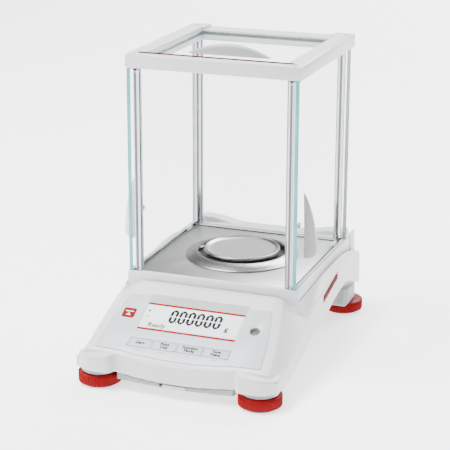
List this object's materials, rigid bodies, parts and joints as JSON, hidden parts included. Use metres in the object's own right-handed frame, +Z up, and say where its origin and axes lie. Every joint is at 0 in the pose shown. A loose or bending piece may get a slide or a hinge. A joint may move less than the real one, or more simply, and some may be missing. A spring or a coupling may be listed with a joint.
{
  "type": "analytical balance",
  "caption": "Laboratory analytical balance: sloped console with display and keys, glass draft shield with sliding doors, weighing pan and screw-adjusted levelling feet.",
  "frame": {"origin": "centre of the footprint on the surface that the balance stands on", "axes": "+X to the right seen from the front, -Y out of the front of the console, +Z up"},
  "size_m": [0.209, 0.3218, 0.3157],
  "materials": {
    "housing_white": "fine satin texture",
    "housing_grey": "satin",
    "frame_white": "satin white paint",
    "overlay": "printed polyester foil",
    "key_foil": "printed polyester foil",
    "lcd_glass": "clear window over a pale display",
    "lcd_frame": "black moulding",
    "vial": "tinted liquid",
    "clear": "clear float glass with a green-blue edge",
    "chrome": "polished",
    "pan_steel": "fine turned stainless",
    "ring_steel": "turned and polished stainless",
    "plate_steel": "brushed stainless sheet",
    "screw_steel": "plain",
    "foot_red": "ribbed moulding",
    "pad_rubber": "matte",
    "trim_red": "thin red trim",
    "handle_grey": "silver-white moulding",
    "black_plastic": "moulded",
    "label": "plain label",
    "board": "solder mask",
    "aluminium": "as cast",
    "copper": null,
    "nylon": "natural nylon"
  },
  "bodies": {
    "root": {"top_housing": "housing_white", "bottom_housing": "housing_grey", "data_plate": "label", "keypad_overlay": "overlay", "lcd_module": "lcd_frame", "lcd_window": "lcd_glass", "level_vial": "vial", "level_lens": "clear", "display_board": "board", "main_board": "board", "load_cell_body": "aluminium", "force_coil": "copper", "calibration_motor": "black_plastic", "weigh_below_rod": "screw_steel", "power_jack": "black_plastic", "serial_port": "black_plastic", "usb_port": "black_plastic", "shield_base": "housing_white", "chamber_plate": "plate_steel", "draft_ring": "ring_steel", "post_front_left": "chrome", "post_front_right": "chrome", "post_rear_left": "chrome", "post_rear_right": "chrome", "front_glass": "clear", "rear_glass": "clear", "top_frame": "frame_white", "red_trim": "trim_red", "frame_screw_front_left": "screw_steel", "frame_screw_front_right": "screw_steel", "frame_screw_rear_left": "screw_steel", "frame_screw_rear_right": "screw_steel", "left_door_guide": "housing_white", "right_door_guide": "housing_white"},
    "pan": {"weighing_pan": "pan_steel", "pan_carrier": "screw_steel"},
    "left_door": {"left_door_glass": "clear", "left_door_handle": "handle_grey", "left_handle_screw": "screw_steel"},
    "right_door": {"right_door_glass": "clear", "right_door_handle": "handle_grey", "right_handle_screw": "screw_steel"},
    "top_door": {"top_door_glass": "clear", "top_door_handle": "handle_grey"},
    "zero_key": {"key_zero": "key_foil"},
    "unit_key": {"key_unit": "key_foil"},
    "mode_key": {"key_mode": "key_foil"},
    "tare_key": {"key_tare": "key_foil"},
    "weigh_below_lid": {"weigh_below_cover": "housing_grey"},
    "cam": {"calibration_cam": "nylon"},
    "lifter": {"weight_lifter": "housing_grey", "calibration_weight": "screw_steel"},
    "foot_stand_front_left": {"foot_pad_front_left": "pad_rubber"},
    "foot_turn_front_left": {"foot_wheel_front_left": "foot_red"},
    "foot_stand_front_right": {"foot_pad_front_right": "pad_rubber"},
    "foot_turn_front_right": {"foot_wheel_front_right": "foot_red"},
    "foot_stand_rear_left": {"foot_pad_rear_left": "pad_rubber"},
    "foot_turn_rear_left": {"foot_wheel_rear_left": "foot_red"},
    "foot_stand_rear_right": {"foot_pad_rear_right": "pad_rubber"},
    "foot_turn_rear_right": {"foot_wheel_rear_right": "foot_red"}
  },
  "joints": [
    {"name": "left_door_slide", "type": "slide", "parent": "root", "child": "left_door", "axis": [0, 1, 0], "range_m": [0, 0.14]},
    {"name": "right_door_slide", "type": "slide", "parent": "root", "child": "right_door", "axis": [0, 1, 0], "range_m": [0, 0.14]},
    {"name": "top_door_slide", "type": "slide", "parent": "root", "child": "top_door", "axis": [0, 1, 0], "range_m": [0, 0.1]},
    {"name": "zero_key_press", "type": "slide", "parent": "root", "child": "zero_key", "axis": [0, 0.44, -0.898], "range_m": [0, 0.0005], "stiffness_N_per_m": 1500, "springref_m": -0.0004},
    {"name": "unit_key_press", "type": "slide", "parent": "root", "child": "unit_key", "axis": [0, 0.44, -0.898], "range_m": [0, 0.0005], "stiffness_N_per_m": 1500, "springref_m": -0.0004},
    {"name": "mode_key_press", "type": "slide", "parent": "root", "child": "mode_key", "axis": [0, 0.44, -0.898], "range_m": [0, 0.0005], "stiffness_N_per_m": 1500, "springref_m": -0.0004},
    {"name": "tare_key_press", "type": "slide", "parent": "root", "child": "tare_key", "axis": [0, 0.44, -0.898], "range_m": [0, 0.0005], "stiffness_N_per_m": 1500, "springref_m": -0.0004},
    {"name": "pan_load", "type": "slide", "parent": "root", "child": "pan", "axis": [0, 0, -1], "range_m": [0, 0.0005], "stiffness_N_per_m": 20000, "springref_m": -0.0003},
    {"name": "foot_lift_front_left", "type": "slide", "parent": "root", "child": "foot_stand_front_left", "axis": [0, 0, -1], "range_m": [0, 0.005]},
    {"name": "foot_screw_front_left", "type": "hinge", "parent": "foot_stand_front_left", "child": "foot_turn_front_left", "pos_m": [-0.083, -0.1394, 0.007], "axis": [0, 0, 1], "range_deg": [0, 1441]},
    {"name": "foot_lift_front_right", "type": "slide", "parent": "root", "child": "foot_stand_front_right", "axis": [0, 0, -1], "range_m": [0, 0.005]},
    {"name": "foot_screw_front_right", "type": "hinge", "parent": "foot_stand_front_right", "child": "foot_turn_front_right", "pos_m": [0.083, -0.1394, 0.007], "axis": [0, 0, 1], "range_deg": [0, 1441]},
    {"name": "foot_lift_rear_left", "type": "slide", "parent": "root", "child": "foot_stand_rear_left", "axis": [0, 0, -1], "range_m": [0, 0.005]},
    {"name": "foot_screw_rear_left", "type": "hinge", "parent": "foot_stand_rear_left", "child": "foot_turn_rear_left", "pos_m": [-0.083, 0.1394, 0.007], "axis": [0, 0, 1], "range_deg": [0, 1441]},
    {"name": "foot_lift_rear_right", "type": "slide", "parent": "root", "child": "foot_stand_rear_right", "axis": [0, 0, -1], "range_m": [0, 0.005]},
    {"name": "foot_screw_rear_right", "type": "hinge", "parent": "foot_stand_rear_right", "child": "foot_turn_rear_right", "pos_m": [0.083, 0.1394, 0.007], "axis": [0, 0, 1], "range_deg": [0, 1441]},
    {"name": "weigh_below_lid_swing", "type": "hinge", "parent": "root", "child": "weigh_below_lid", "pos_m": [-0.009, 0.031, 0.011], "axis": [0, 0, 1], "range_deg": [0, 90]},
    {"name": "cam_turn", "type": "hinge", "parent": "root", "child": "cam", "pos_m": [0.045, 0.04, 0.018], "axis": [0, 0, 1], "range_deg": [0, 180]},
    {"name": "weight_lift", "type": "slide", "parent": "root", "child": "lifter", "axis": [0, 0, 1], "range_m": [0, 0.005]}
  ],
  "couplings": [
    {"joint": "foot_screw_front_left", "follows": "foot_lift_front_left", "rad_per_m": 5026.5},
    {"joint": "foot_screw_front_right", "follows": "foot_lift_front_right", "rad_per_m": 5026.5},
    {"joint": "foot_screw_rear_left", "follows": "foot_lift_rear_left", "rad_per_m": 5026.5},
    {"joint": "foot_screw_rear_right", "follows": "foot_lift_rear_right", "rad_per_m": 5026.5},
    {"joint": "cam_turn", "follows": "weight_lift", "rad_per_m": 628}
  ]
}
